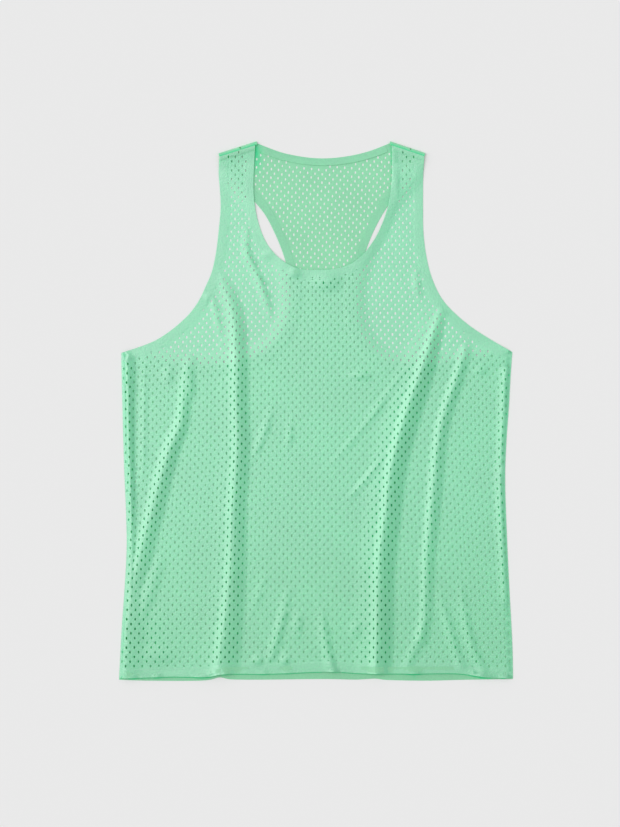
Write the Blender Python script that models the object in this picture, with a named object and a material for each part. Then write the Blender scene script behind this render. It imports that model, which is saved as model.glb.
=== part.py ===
"""A sleeveless running singlet of eyelet mesh, laid flat on a table with its front up.

Sizes are in millimetres here and are written to the meshes in metres. +Y points to the neck, +Z up,
and the table is z = 0. The origin lies under the middle of the garment.

The back panel lies flat on the table. The front panel lies on it as a wall whose height follows what is
under it (the table, the back panel, the bands) and the folds. Each open edge is backed inside by a band.
"""

import bmesh
import bpy
import numpy as np
from mathutils.geometry import delaunay_2d_cdt

MM = 0.001

# Cloth
CLOTH = 1.0  # wall of one layer of cloth
GAP = 0.3  # between two pieces that lie on each other or meet at a seam
LAYER = CLOTH + GAP  # what one more layer adds to the stack

# Bands inside the open edges
NECK_BAND = 9.0  # width
ARM_BAND = 10.0
HEM_BAND = 10.0
BAND_TO_SIDE = 7.0  # a band stops this far from a side seam
BAND_TO_SHOULDER = 9.0  # and this far from the shoulder's top edge
BAND_FULL = 5.8  # from a side seam, where the cloth above a band is at its full height

# Shoulders: the back panel turns over the top and meets the front panel on the front
SHOULDER_STACK = 3 * LAYER  # underside of the front panel at the shoulder seam
TURN_OUTER = (SHOULDER_STACK + CLOTH) / 2  # radius of the turn's outer face
TURN_INNER = TURN_OUTER - CLOTH
TURN_LENGTH = np.pi * (TURN_OUTER + TURN_INNER) / 2  # of cloth in the half turn
TURN_STEPS = 6
TURN_SIDE = 0.02  # cloth this share of the line's length past either of its ends turns too
SHOULDER_RETURN = 4.2  # from the top edge down to the seam, on the front
STRAP_INSET = 3.2  # the front strap's neck edge starts this far inside the shoulder's neck end

# How the front panel eases down from what it lies on
REST_MARGIN = 2.0  # it stays up this far past a back band
REST_EASE = 24.0  # and comes down to the back panel within this
TABLE_EASE = 40.0  # or to the table within this, past the back panel's edge
TABLE_REST = 0.1  # its height over the table there
SHOULDER_EASE = 14.0

# Net
EDGE_STEP = 12.0  # between points along an edge
FOLD_STEP = 17.0  # between points along a fold
NET_STEP = 20.0  # between points inside the front panel
FLAT_STEP = 400.0  # and inside the flat pieces
NET_CLEAR = 7.5  # an inside point keeps this far from an edge or a fold
LINE_CLEAR = 1.5  # and a fold's line this far from an edge
ROW_STEP = np.sqrt(3) / 2  # between rows of points, for triangles of equal sides
SAME_POINT = 0.01
SHARP = 0.7  # radians; a wall's rim stays sharp, its faces are shaded smooth

# Where the back panel starts to turn at each shoulder: the two ends of that line, counter-clockwise
SHOULDERS = {
    "right": np.array([(141.0, 332.9), (95.8, 348.0)]),
    "left": np.array([(-76.8, 348.0), (-126.0, 332.4)]),
}

# Edges shared by both panels: columns x, y, from the hem up on the right and down on the left
RIGHT_SIDE = [
    (255.8, -347.0),
    (254.9, -304.2),
    (251.0, -230.1),
    (248.0, -165.0),
    (245.6, -89.7),
    (247.2, -40.0),
    (250.4, 5.0),
    (253.0, 50.7),
    (254.9, 76.5),
]
LEFT_SIDE = [
    (-253.0, 75.4),
    (-252.5, 50.7),
    (-251.0, -11.7),
    (-249.2, -74.1),
    (-246.6, -136.5),
    (-246.0, -180.0),
    (-248.6, -230.0),
    (-252.5, -284.7),
    (-255.8, -347.2),
]

# Front panel: columns x, y, each edge counter-clockwise round the panel
FRONT_HEM = [
    (-255.8, -347.1),
    (-228.5, -346.4),
    (-190.0, -345.0),
    (-140.0, -345.0),
    (-122.0, -341.6),
    (-60.0, -341.2),
    (18.5, -338.4),
    (60.0, -340.6),
    (130.0, -341.0),
    (186.0, -341.0),
    (222.0, -345.8),
    (255.8, -346.8),
]
FRONT_RIGHT_ARM = [
    (254.9, 76.5),
    (232.5, 89.5),
    (203.5, 107.9),
    (181.3, 126.1),
    (164.5, 144.3),
    (154.4, 163.0),
    (147.5, 182.0),
    (142.2, 207.0),
    (139.2, 235.0),
    (138.8, 270.0),
    (139.0, 305.0),
]  # then up to the shoulder seam
FRONT_NECK = [
    (99.0, 328.0),
    (98.6, 305.0),
    (96.8, 285.0),
    (92.5, 262.0),
    (84.0, 238.5),
    (74.5, 220.5),
    (62.0, 204.5),
    (45.5, 191.5),
    (25.0, 184.8),
    (0.0, 183.3),
    (-20.0, 184.4),
    (-35.0, 190.0),
    (-50.0, 200.5),
    (-62.1, 214.5),
    (-70.5, 231.0),
    (-76.6, 250.5),
    (-80.3, 272.0),
    (-81.3, 300.0),
]
FRONT_LEFT_ARM = [
    (-126.3, 308.0),
    (-124.6, 286.0),
    (-123.8, 264.0),
    (-126.0, 237.9),
    (-129.6, 207.5),
    (-135.3, 180.7),
    (-143.1, 162.5),
    (-151.6, 144.3),
    (-163.8, 127.0),
    (-178.8, 112.5),
    (-197.0, 98.5),
    (-212.0, 89.9),
    (-234.0, 81.4),
    (-253.0, 75.4),
]

# Back panel: columns x, y, each edge counter-clockwise round the panel
BACK_HEM = [
    (-255.8, -349.2),
    (-215.5, -350.3),
    (-140.0, -349.8),
    (-127.7, -345.9),
    (-117.0, -348.2),
    (-85.5, -349.0),
    (12.0, -348.2),
    (63.0, -348.8),
    (71.8, -346.4),
    (81.0, -348.8),
    (142.0, -350.3),
    (190.0, -349.2),
    (255.8, -348.2),
]
BACK_RIGHT_ARM = [
    (254.9, 76.5),
    (213.5, 70.0),
    (161.5, 62.6),
    (116.0, 61.1),
    (83.0, 70.0),
    (62.5, 91.0),
    (53.0, 112.0),
    (50.0, 136.0),
    (50.6, 160.0),
    (54.6, 182.0),
    (62.7, 204.1),
    (75.7, 236.0),
    (93.0, 266.5),
    (114.7, 294.5),
    (131.0, 314.5),
]
BACK_NECK = [
    (74.4, 339.3),
    (50.0, 332.6),
    (18.5, 328.4),
    (-8.0, 329.0),
    (-38.7, 334.2),
    (-58.0, 340.4),
]
BACK_LEFT_ARM = [
    (-116.0, 312.5),
    (-101.0, 295.5),
    (-81.0, 273.6),
    (-66.0, 255.0),
    (-53.0, 230.1),
    (-43.0, 205.5),
    (-36.0, 180.0),
    (-32.8, 150.0),
    (-35.5, 123.5),
    (-45.0, 100.6),
    (-62.0, 80.0),
    (-87.0, 67.6),
    (-119.3, 61.3),
    (-170.0, 61.1),
    (-212.0, 68.0),
    (-253.0, 75.4),
]

# Folds of the front panel, from the top down: columns x, y of the crest, its height, and the reach of
# its left and right flank
FOLDS = {
    "left_main": [
        (-123.0, 172.0, 0.7, 7.4, 10.5),
        (-108.5, 128.0, 2.4, 8.3, 14.3),
        (-104.6, 79.0, 3.1, 8.3, 15.3),
        (-104.1, 14.0, 3.4, 7.8, 15.3),
        (-102.9, -50.0, 3.4, 7.8, 16.2),
        (-108.7, -128.0, 3.4, 7.8, 17.2),
        (-110.8, -194.0, 3.4, 7.8, 18.2),
        (-116.8, -259.0, 3.4, 8.3, 19.2),
        (-124.0, -311.0, 3.4, 9.2, 21.1),
        (-127.5, -343.5, 3.1, 9.2, 21.1),
    ],
    "right_main": [
        (162.0, 130.0, 0.7, 6.7, 8.3),
        (145.1, 80.0, 3.6, 8.0, 15.0),
        (134.1, 47.0, 4.2, 7.5, 17.5),
        (119.8, 8.0, 4.6, 7.5, 20.1),
        (105.9, -38.0, 4.6, 7.2, 20.1),
        (95.4, -83.0, 4.6, 6.7, 20.8),
        (89.6, -135.0, 4.6, 6.7, 20.8),
        (81.8, -194.0, 4.6, 6.7, 21.7),
        (79.6, -252.0, 4.6, 7.2, 20.8),
        (78.2, -311.0, 4.6, 7.5, 20.8),
        (76.0, -340.8, 4.2, 7.5, 20.8),
    ],
    "right_second": [
        (193.9, 80.0, 1.1, 8.1, 8.5),
        (181.4, 40.0, 2.1, 8.1, 9.5),
        (167.0, -1.0, 2.1, 8.1, 10.4),
        (158.8, -38.0, 2.2, 8.1, 10.4),
        (153.3, -90.0, 2.2, 8.1, 11.4),
        (148.3, -142.0, 2.1, 8.1, 11.4),
        (143.6, -194.0, 1.7, 8.1, 10.4),
        (141.6, -252.0, 1.4, 8.1, 10.4),
        (136.4, -298.0, 1.0, 9.0, 10.4),
    ],
    "left_slant": [
        (-164.0, 66.0, 0.7, 8.5, 9.0),
        (-169.0, 44.0, 1.4, 8.5, 9.0),
        (-172.3, 14.0, 1.8, 8.5, 10.0),
        (-177.5, -18.0, 2.6, 9.5, 11.0),
        (-189.6, -47.0, 3.2, 10.4, 13.0),
        (-201.0, -84.0, 3.2, 10.4, 14.0),
        (-211.0, -122.0, 2.9, 10.4, 15.0),
        (-220.5, -160.0, 2.2, 9.5, 14.0),
        (-228.9, -200.0, 0.9, 9.5, 12.0),
    ],
    "left_low": [
        (-204.0, -196.0, 0.8, 12.0, 10.0),
        (-214.5, -230.0, 2.0, 13.0, 10.0),
        (-228.0, -264.0, 2.0, 12.0, 10.0),
        (-238.0, -300.0, 1.2, 10.0, 10.0),
    ],
    "left_roll": [
        (-245.0, 66.0, 2.4, 8.0, 11.0),
        (-244.5, 35.0, 3.2, 8.0, 12.0),
        (-244.5, -10.0, 2.8, 8.0, 9.0),
        (-243.5, -60.0, 2.2, 8.0, 7.0),
        (-242.0, -120.0, 1.8, 8.0, 7.0),
        (-241.0, -170.0, 0.8, 8.0, 7.0),
    ],
    "right_roll": [
        (246.0, 50.0, 1.6, 8.0, 6.0),
        (243.5, 0.0, 1.8, 8.0, 6.0),
        (240.5, -60.0, 1.9, 8.0, 6.0),
        (240.0, -120.0, 1.9, 8.0, 6.0),
        (242.5, -190.0, 1.6, 8.0, 6.0),
        (245.5, -245.0, 0.8, 8.0, 6.0),
    ],
}

CLOTH_GREEN = (0.31, 0.70, 0.46)
BAND_GREEN = (0.27, 0.62, 0.40)


# Curves


def lengths(path):
    """How far along path each of its points lies."""
    steps = np.linalg.norm(np.diff(path[:, :2], axis=0), axis=1)
    return np.concatenate([[0.0], np.cumsum(steps)])


def smooth(rows, step):
    """A smooth curve through rows, with a point about every step; further columns follow along."""
    rows = np.array(rows, float)
    places = lengths(rows)
    near = np.clip([np.arange(len(rows)) - 1, np.arange(len(rows)) + 1], 0, len(rows) - 1)
    slopes = (rows[near[1]] - rows[near[0]]) / (places[near[1]] - places[near[0]])[:, None]
    wanted = np.linspace(0.0, places[-1], max(2, round(places[-1] / step) + 1))
    first = np.clip(np.searchsorted(places, wanted, "right") - 1, 0, len(rows) - 2)
    span = (places[first + 1] - places[first])[:, None]
    s = (wanted - places[first])[:, None] / span
    start = (2 * s**3 - 3 * s**2 + 1) * rows[first] + (s**3 - 2 * s**2 + s) * span * slopes[first]
    end = (3 * s**2 - 2 * s**3) * rows[first + 1] + (s**3 - s**2) * span * slopes[first + 1]
    return start + end


def to_left(path, width):
    """path moved to its left, which is inwards on a counter-clockwise edge."""
    along = np.gradient(path, axis=0)
    along /= np.linalg.norm(along, axis=1)[:, None]
    return path + np.reshape(width, (-1, 1)) * np.column_stack([-along[:, 1], along[:, 0]])


def without_ends(path, start, end):
    """The points of path that lie further than start and end from its ends."""
    places = lengths(path)
    return path[(places >= start) & (places <= places[-1] - end)]


def to_segments(points, path):
    """For each point, its nearest place on path: distance, segment, share along it, and side (left is +)."""
    first, along = path[:-1, :2], np.diff(path[:, :2], axis=0)
    from_first = points[:, None, :] - first
    share = np.clip((from_first * along).sum(2) / (along**2).sum(1), 0.0, 1.0)
    away = from_first - share[..., None] * along
    away_length = np.linalg.norm(away, axis=2)
    nearest = away_length.argmin(1)
    rows = np.arange(len(points))
    turn = along[nearest, 0] * away[rows, nearest, 1] - along[nearest, 1] * away[rows, nearest, 0]
    return away_length[rows, nearest], nearest, share[rows, nearest], turn


def distance(points, paths):
    """How far each point lies from the nearest of paths."""
    return np.min([to_segments(points, path)[0] for path in paths], axis=0)


def inside(points, ring):
    """Whether each point lies inside the closed ring."""
    x, y = points[:, 0, None], points[:, 1, None]
    x0, y0 = ring.T
    x1, y1 = np.roll(ring, -1, axis=0).T
    crosses = (y0 > y) != (y1 > y)
    rise = np.where(y1 == y0, 1.0, y1 - y0)
    return (crosses & (x < (x1 - x0) * (y - y0) / rise + x0)).sum(1) % 2 == 1


def ease(share):
    """0 up to share 0, 1 from share 1 on, and smooth between."""
    share = np.clip(share, 0.0, 1.0)
    return share * share * (3 - 2 * share)


def closed(ring):
    return np.vstack([ring, ring[:1]])


# Panels and bands in plan


def unit(vector):
    return vector / np.linalg.norm(vector)


def outward(line):
    """The direction to the right of a straight line, which is out of a counter-clockwise ring."""
    along = unit(line[-1] - line[0])
    return np.array([along[1], -along[0]])


def seam_line(shoulder):
    """The front panel's end at a shoulder: just short of the back panel's turned edge."""
    line = SHOULDERS[shoulder] - (SHOULDER_RETURN - TURN_OUTER + GAP) * outward(SHOULDERS[shoulder])
    inset = STRAP_INSET * unit(line[1] - line[0])
    start, end = line
    return np.array([start, end - inset] if shoulder == "right" else [start + inset, end])


def edges(hem, right_arm, neck, left_arm, right_shoulder, left_shoulder):
    """A panel's six edges, counter-clockwise, each as a smooth curve."""
    tables = {
        "hem": hem,
        "right_side": [hem[-1], *RIGHT_SIDE[1:]],
        "right_arm": [*right_arm, right_shoulder[0]],
        "neck": [right_shoulder[1], *neck, left_shoulder[0]],
        "left_arm": [left_shoulder[1], *left_arm],
        "left_side": [*LEFT_SIDE[:-1], hem[0]],
    }
    return {name: smooth(rows, EDGE_STEP) for name, rows in tables.items()}


SEAMS = {name: seam_line(name) for name in SHOULDERS}
FRONT = edges(FRONT_HEM, FRONT_RIGHT_ARM, FRONT_NECK, FRONT_LEFT_ARM, SEAMS["right"], SEAMS["left"])
BACK = edges(BACK_HEM, BACK_RIGHT_ARM, BACK_NECK, BACK_LEFT_ARM, SHOULDERS["right"], SHOULDERS["left"])
BAND_WIDTHS = {"hem": HEM_BAND, "right_arm": ARM_BAND, "neck": NECK_BAND, "left_arm": ARM_BAND}


def ring_of(edge_paths):
    """Paths that follow each other as one closed ring, without the points that two of them share."""
    points = np.concatenate(list(edge_paths))
    apart = np.linalg.norm(points - np.roll(points, 1, axis=0), axis=1) > SAME_POINT
    return points[apart]


def band_strip(panel, edge):
    """The outline of the band along an edge: its outer side, then its inner side back."""
    ends = {
        "hem": (BAND_TO_SIDE, BAND_TO_SIDE),
        "right_arm": (BAND_TO_SIDE, BAND_TO_SHOULDER),
        "neck": (BAND_TO_SHOULDER, BAND_TO_SHOULDER),
        "left_arm": (BAND_TO_SHOULDER, BAND_TO_SIDE),
    }
    outer = without_ends(panel[edge], *ends[edge])
    return np.concatenate([outer, to_left(outer, BAND_WIDTHS[edge])[::-1]])


def banded(panel):
    return [panel[edge] for edge in BAND_WIDTHS]


FRONT_RING = ring_of(FRONT.values())
BACK_RING = ring_of(BACK.values())
FOLD_PATHS = {name: smooth(rows, FOLD_STEP) for name, rows in FOLDS.items()}


# Heights


def fold_height(points, path):
    """How far a fold lifts each point: a rounded ridge that leans by its two flanks' reach."""
    away, segment, share, turn = to_segments(points, path)
    row = path[segment] + share[:, None] * (path[segment + 1] - path[segment])
    reach = np.where(turn < 0, row[:, 3], row[:, 4])
    return row[:, 2] * (1 + np.cos(np.pi * np.clip(away / reach, 0.0, 1.0))) / 2


def folds(points):
    return np.max([fold_height(points, path) for path in FOLD_PATHS.values()], axis=0)


def under_front(points):
    """Height that the table, the back panel and the back bands hold the front's inner face at."""
    to_side = distance(points, [BACK["right_side"], BACK["left_side"]])
    over_back = inside(points, BACK_RING) | (to_side < REST_MARGIN)
    to_edge = distance(points, banded(BACK))
    over_band = 1 - ease((to_edge - ARM_BAND - REST_MARGIN) / REST_EASE)
    over_band *= np.clip(to_side / BAND_FULL, 0.0, 1.0)
    on_back = LAYER + LAYER * over_band
    past_edge = ease((to_edge - REST_MARGIN) / TABLE_EASE)
    on_table = 2 * LAYER + (TABLE_REST - 2 * LAYER) * past_edge
    return np.where(over_back, on_back, np.maximum(on_table, TABLE_REST))


def front_height(points):
    """Height of the front panel's inner face."""
    to_side = distance(points, [FRONT["right_side"], FRONT["left_side"]])
    over_band = 1 - ease((distance(points, banded(FRONT)) - ARM_BAND - REST_MARGIN) / REST_EASE)
    over_band *= np.clip(to_side / BAND_FULL, 0.0, 1.0)
    height = under_front(points) + LAYER * over_band
    at_seam = 1 - ease((distance(points, list(SEAMS.values())) - REST_MARGIN) / SHOULDER_EASE)
    height += (SHOULDER_STACK - height) * at_seam
    at_edge = ease(to_side / BAND_TO_SIDE)
    return height + folds(points) * at_edge


# Solids


def new_material(name, colour, roughness):
    material = bpy.data.materials.new(name)
    material.use_nodes = True
    shader = material.node_tree.nodes["Principled BSDF"]
    shader.inputs["Base Color"].default_value = (*colour, 1.0)
    shader.inputs["Roughness"].default_value = roughness
    shader.inputs["Metallic"].default_value = 0.0
    return material


def net(ring, lines, step):
    """Points and triangles that fill ring, with an edge along each of lines and points between."""
    low, high = ring.min(0), ring.max(0)
    rows = np.arange(low[1], high[1], step * ROW_STEP)
    spots = [
        (x, y)
        for number, y in enumerate(rows)
        for x in np.arange(low[0] + (number % 2) * step / 2, high[0], step)
    ]
    spots = np.array(spots)
    spots = spots[inside(spots, ring)]
    spots = spots[distance(spots, [closed(ring)] + lines) > NET_CLEAR]
    points = [ring, *lines, spots]
    firsts = np.cumsum([0] + [len(group) for group in points])
    pairs = [(i, (i + 1) % len(ring)) for i in range(len(ring))]
    for line, first in zip(lines, firsts[1:]):
        pairs += [(first + i, first + i + 1) for i in range(len(line) - 1)]
    flat = [tuple(map(float, point)) for point in np.concatenate(points)]
    found, _, triangles, *_ = delaunay_2d_cdt(flat, [tuple(map(int, p)) for p in pairs], [], 0, SAME_POINT)
    found = np.array([tuple(point) for point in found])
    triangles = np.array(triangles)
    return found, triangles[inside(found[triangles].mean(1), ring)]


def wall(name, triangles, lower, upper, material):
    """A closed wall between the points of its lower and its upper face."""
    used, triangles = np.unique(triangles, return_inverse=True)
    triangles = triangles.reshape(-1, 3)
    lower, upper = lower[used], upper[used]
    count = len(used)
    sides = {(a, b) for t in triangles.tolist() for a, b in zip(t, t[1:] + t[:1])}
    rim = [(a, b) for a, b in sides if (b, a) not in sides]
    faces = [(a + count, b + count, c + count) for a, b, c in triangles.tolist()]
    faces += [(c, b, a) for a, b, c in triangles.tolist()]
    faces += [(a, b, b + count, a + count) for a, b in rim]
    mesh = bpy.data.meshes.new(name)
    mesh.from_pydata((np.concatenate([lower, upper]) * MM).tolist(), [], faces)
    shell = bmesh.new()
    shell.from_mesh(mesh)
    bmesh.ops.recalc_face_normals(shell, faces=shell.faces)
    shell.to_mesh(mesh)
    shell.free()
    mesh.shade_smooth()
    mesh.set_sharp_from_angle(angle=SHARP)
    mesh.materials.append(material)
    bpy.context.collection.objects.link(bpy.data.objects.new(name, mesh))


def at_height(points, height):
    return np.column_stack([points, np.broadcast_to(height, len(points))])


def front_pieces(cloth, band):
    """The front panel, and the bands made from its points, moved down."""
    strips = {edge: band_strip(FRONT, edge) for edge in BAND_WIDTHS}
    rest_lines = []
    for edge in ("right_arm", "left_arm"):
        rest_lines.append(to_left(BACK[edge], -REST_MARGIN))
        rest_lines.append(to_left(BACK[edge], ARM_BAND + REST_MARGIN))
    fold_lines = []
    for path in FOLD_PATHS.values():
        crest, left_reach, right_reach = path[:, :2], path[:, 3], path[:, 4]
        for sideways in (-left_reach, 0 * left_reach, right_reach / 2, right_reach):
            fold_lines.append(to_left(crest, sideways))
    lines = [closed(strip) for strip in strips.values()]
    lines += [kept for line in rest_lines + fold_lines for kept in inner_runs(line, FRONT_RING)]
    points, triangles = net(FRONT_RING, lines, NET_STEP)
    height = front_height(points)
    wall("front_panel", triangles, at_height(points, height), at_height(points, height + CLOTH), cloth)
    middles = points[triangles].mean(1)
    for edge, strip in strips.items():
        chosen = triangles[inside(middles, strip)]
        lower, upper = at_height(points, height - LAYER), at_height(points, height - GAP)
        wall(f"front_{edge}_band", chosen, lower, upper, band)


def inner_runs(line, ring):
    """The stretches of line that lie inside ring, well clear of it."""
    kept = inside(line, ring) & (distance(line, [closed(ring)]) > LINE_CLEAR)
    runs, run = [], []
    for point, keep in zip(line, kept):
        if keep:
            run.append(point)
        elif run:
            runs.append(run)
            run = []
    runs.append(run)
    return [np.array(run) for run in runs if len(run) > 1]


def flap(shoulder):
    """The flat cloth beyond a shoulder's line that makes its turn: its ring points and its cross lines."""
    line, out = SHOULDERS[shoulder], outward(SHOULDERS[shoulder])
    reaches = [TURN_LENGTH * step / TURN_STEPS for step in range(TURN_STEPS + 1)]
    reaches.append(TURN_LENGTH + SHOULDER_RETURN - TURN_OUTER)
    sides = [[end + reach * out for reach in reaches] for end in line]
    ring = np.array(sides[0] + sides[1][::-1])
    return ring, [np.array(pair) for pair in zip(*sides)][:-1]


def turned(points, from_centre, at_start):
    """Flat points as the cloth lies: level, but rolled over each shoulder's line."""
    placed = at_height(points, at_start)
    for line in SHOULDERS.values():
        out = outward(line)
        past = (points - line[0]) @ out
        share = (points - line[0]) @ (line[1] - line[0]) / ((line[1] - line[0]) ** 2).sum()
        beyond = (past > 0) & (share > -TURN_SIDE) & (share < 1 + TURN_SIDE)
        angle = np.minimum(past / TURN_LENGTH, 1.0) * np.pi
        reach = from_centre * np.sin(angle) - np.maximum(past - TURN_LENGTH, 0.0)
        across = points + (reach - past)[:, None] * out
        rolled = at_height(across, at_start + from_centre * (1 - np.cos(angle)))
        placed[beyond] = rolled[beyond]
    return placed


def back_pieces(cloth, band):
    """The back panel, turned over at the shoulders, and the bands that lie on its inside."""
    right_flap, right_lines = flap("right")
    left_flap, left_lines = flap("left")
    order = ["hem", "right_side", "right_arm", "right_flap", "neck", "left_flap", "left_arm", "left_side"]
    paths = {**BACK, "right_flap": right_flap, "left_flap": left_flap}
    ring = ring_of(paths[name] for name in order)
    points, triangles = net(ring, right_lines + left_lines, FLAT_STEP)
    outer, inner = turned(points, TURN_OUTER, 0.0), turned(points, TURN_INNER, CLOTH)
    wall("back_panel", triangles, outer, inner, cloth)
    for edge in BAND_WIDTHS:
        strip = band_strip(BACK, edge)
        points, triangles = net(strip, [], FLAT_STEP)
        wall(f"back_{edge}_band", triangles, at_height(points, LAYER), at_height(points, LAYER + CLOTH), band)


def build():
    for thing in list(bpy.data.objects):
        bpy.data.objects.remove(thing, do_unlink=True)
    cloth = new_material("eyelet_mesh", CLOTH_GREEN, 0.8)
    band = new_material("bonded_edge", BAND_GREEN, 0.75)
    back_pieces(cloth, band)
    front_pieces(cloth, band)


build()
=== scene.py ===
"""Looks of the running singlet: eyelet mesh cut right through, bonded edges, camera and soft light.

The two panels and their bands are thin shells on the forms of their solids. Outlines come from the
frame's panels; sizes are in millimetres here and are written to the meshes in metres.
"""

import bmesh
import bpy
import numpy as np
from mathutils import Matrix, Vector
from mathutils.geometry import delaunay_2d_cdt
from mathutils.kdtree import KDTree


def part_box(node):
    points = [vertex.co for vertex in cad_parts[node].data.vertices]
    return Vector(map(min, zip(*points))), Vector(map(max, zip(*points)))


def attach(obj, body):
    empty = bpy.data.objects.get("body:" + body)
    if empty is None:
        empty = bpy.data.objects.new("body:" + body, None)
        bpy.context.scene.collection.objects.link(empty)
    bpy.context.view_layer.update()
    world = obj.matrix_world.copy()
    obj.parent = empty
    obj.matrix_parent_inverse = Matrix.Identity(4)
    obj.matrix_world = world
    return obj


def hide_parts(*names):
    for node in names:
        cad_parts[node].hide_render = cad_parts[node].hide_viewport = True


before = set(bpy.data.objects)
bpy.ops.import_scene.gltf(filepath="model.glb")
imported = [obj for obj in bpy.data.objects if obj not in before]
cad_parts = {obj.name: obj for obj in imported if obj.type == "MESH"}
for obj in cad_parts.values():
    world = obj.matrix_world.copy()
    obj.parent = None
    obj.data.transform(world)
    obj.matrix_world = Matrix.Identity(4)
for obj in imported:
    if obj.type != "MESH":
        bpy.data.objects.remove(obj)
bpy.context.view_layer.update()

MM = 0.001
dice = np.random.default_rng(11)

# Cloth
WALL = 0.22  # thickness of the mesh
BAND_WALL = 0.15
SEAT = 0.04  # between a shell and what it lies on
REST = 0.9  # the same where the front panel lies on the back, away from the side seams
BACK_TOP = SEAT + WALL
BAND_TOP = BACK_TOP + SEAT + BAND_WALL
BAND_LIFT = BAND_WALL + SEAT

# Bands inside the open edges
NECK_BAND = 9.0
ARM_BAND = 10.0
HEM_BAND = 10.0
BAND_WIDTHS = {"hem": HEM_BAND, "right_arm": ARM_BAND, "neck": NECK_BAND, "left_arm": ARM_BAND}
BAND_TO_SIDE = 7.0
BAND_TO_SHOULDER = 9.0
TAPE_TO_SHOULDER = 3.5  # the same on the back
TAPE_CURL = 0.6  # the back neck tape's free edge stands up this much
BAND_MARGIN = 0.4  # the cloth stays up this far past a band
BAND_SHEER = 2.2  # width of the slope at a band's inner edge
SLOPE_ENDS = (BAND_MARGIN, BAND_MARGIN + BAND_SHEER)

# Shoulders
CAD_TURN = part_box("back_panel")[1][2] / MM / 2  # the solid's turn stands this far out
SHOULDER_STACK = 2.6
TURN_OUTER = (SHOULDER_STACK + WALL) / 2
TURN_INNER = TURN_OUTER - WALL
TURN_LENGTH = np.pi * (TURN_OUTER + TURN_INNER) / 2
TURN_STEPS = 8
TURN_SHARE = 0.52  # the turn takes in this share of the shoulder line to each side of its middle
SHOULDER_RETURN = 4.2
SHOULDER_EASE = 20.0
SEAM_LAP = 4.6  # the strap is bonded to the back over this width
SEAM_LIFT = 0.3

# Painted shade at the straps' seams: how many times a band's tone, how far in it is full, and where
# it ends
SEAM_SHADES = {"left_shoulder": (4.0, 5.2, 7.6), "right_shoulder": (2.5, 8.0, 26.0)}
# Painted shade: how far past a strap's edge the turned cloth is painted deeper green, and where
# that ends
STRAP_SHADE_LINE = (0.4, 1.1)

# How the front panel eases down
REST_EASE = 5.0
TABLE_EASE = 20.0
TABLE_REST = 0.1
SIDE_MARGIN = 3.5  # the front overhangs the back's sides by less than this
HEM_LIP = 1.6  # the front hem's edge stands up this much further
HEM_LIP_REACH = 5.0

# Painted shade between the panels
HEM_SHADOW_LINE = (1.1, 1.8)  # painted shadow: the back hem's tape is painted deeper green up to the first past the front's hem
HEM_GAP_WIDTH = 0.9  # and up to this much further where that hem stands up twice as high
FOLD_SHADE_GAPS = (0.95, 2.1)  # the gaps from which and up to which the back is painted deeper green as shade

# Eyelets
EYELET_WIDTH, EYELET_HEIGHT = 2.2, 3.6
EYELET_SIDES = 8
EYELET_TO_BAND = 0.9
EYELET_TO_SIDE = 2.0
EYELET_TO_SEAM = 2.0
EYELET_STRAY = 0.12  # how far an eyelet usually lies from its place
EYELET_VARIATION = 0.04  # how much its size usually differs
EYELET_DIP = 0.08  # the cloth sinks this much at an eyelet's rim
EYELET_TILT = 0.03
ROW_REACH = 270.0  # a row of eyelets is laid out this far to each side
ROW_STEP = 1.5
ROW_EYELETS = 40  # on each side, more than fit

# Net
RING_STEP = 3.4
RING_CLEAR = 1.5
PATH_STEP = 8.0
CREST_STEP = 3.0
CREST_CLEAR = 0.8
LEFT_FLANK_ROWS = (0.5, 1.0)  # net rows along a fold, at these shares of its flank's reach
RIGHT_FLANK_ROWS = (0.4, 1.0)
SEAM_ROWS = (1.0, 5.2, 6.4, 7.6, 12.0, 18.0)  # net rows along the straps' seams, this far in
SEAM_ROW_STEP = 1.5
FILL_STEP = 7.0
FILL_CLEAR = 2.6
SLOPE_STEP = 1.0
SAME_POINT = 0.01
TREE_STEP = 0.5
RIM_ROUND = 0.16  # the rim's middle stands out this far
RIM_SHARP = 0.42  # sharper turns than this, in radians, show as an edge

# Eyelet spacing: columns y, across a row left and right of the middle column, down a column, arch
# of the rows, their tilt, middle column, and the eyelets' size beside the largest
FRONT_MESH = [
    (345.0, 9.1, 9.4, 11.6, 0.0, 0.0, 0.0, 0.8),
    (235.0, 9.2, 9.4, 11.3, 0.0, 0.0, 0.0, 0.85),
    (200.0, 9.4, 9.4, 11.1, 0.0, 0.0, 0.0, 0.9),
    (144.0, 9.75, 9.75, 10.9, 0.00010, 0.0, 0.0, 0.95),
    (40.0, 10.15, 10.15, 11.2, 0.00020, -0.01, 0.0, 1.0),
    (-51.0, 10.2, 10.2, 11.45, 0.00020, -0.01, 0.0, 1.0),
    (-116.0, 10.4, 10.4, 11.7, 0.00018, 0.0, 0.0, 1.0),
    (-194.0, 10.6, 10.6, 12.0, 0.00004, 0.0, 0.0, 1.0),
    (-246.0, 10.7, 10.7, 12.2, 0.0, 0.0, 0.0, 1.0),
    (-350.0, 10.8, 10.8, 12.2, 0.0, 0.0, 0.0, 1.0),
]
BACK_MESH = [
    (365.0, 9.5, 9.5, 10.9, -0.00015, 0.09, 6.0, 0.93),
    (200.0, 9.5, 9.5, 10.9, -0.00015, 0.09, -2.0, 0.93),
    (110.0, 9.9, 9.9, 11.0, 0.00012, 0.0, 0.0, 0.97),
    *FRONT_MESH[4:],
]

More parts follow.
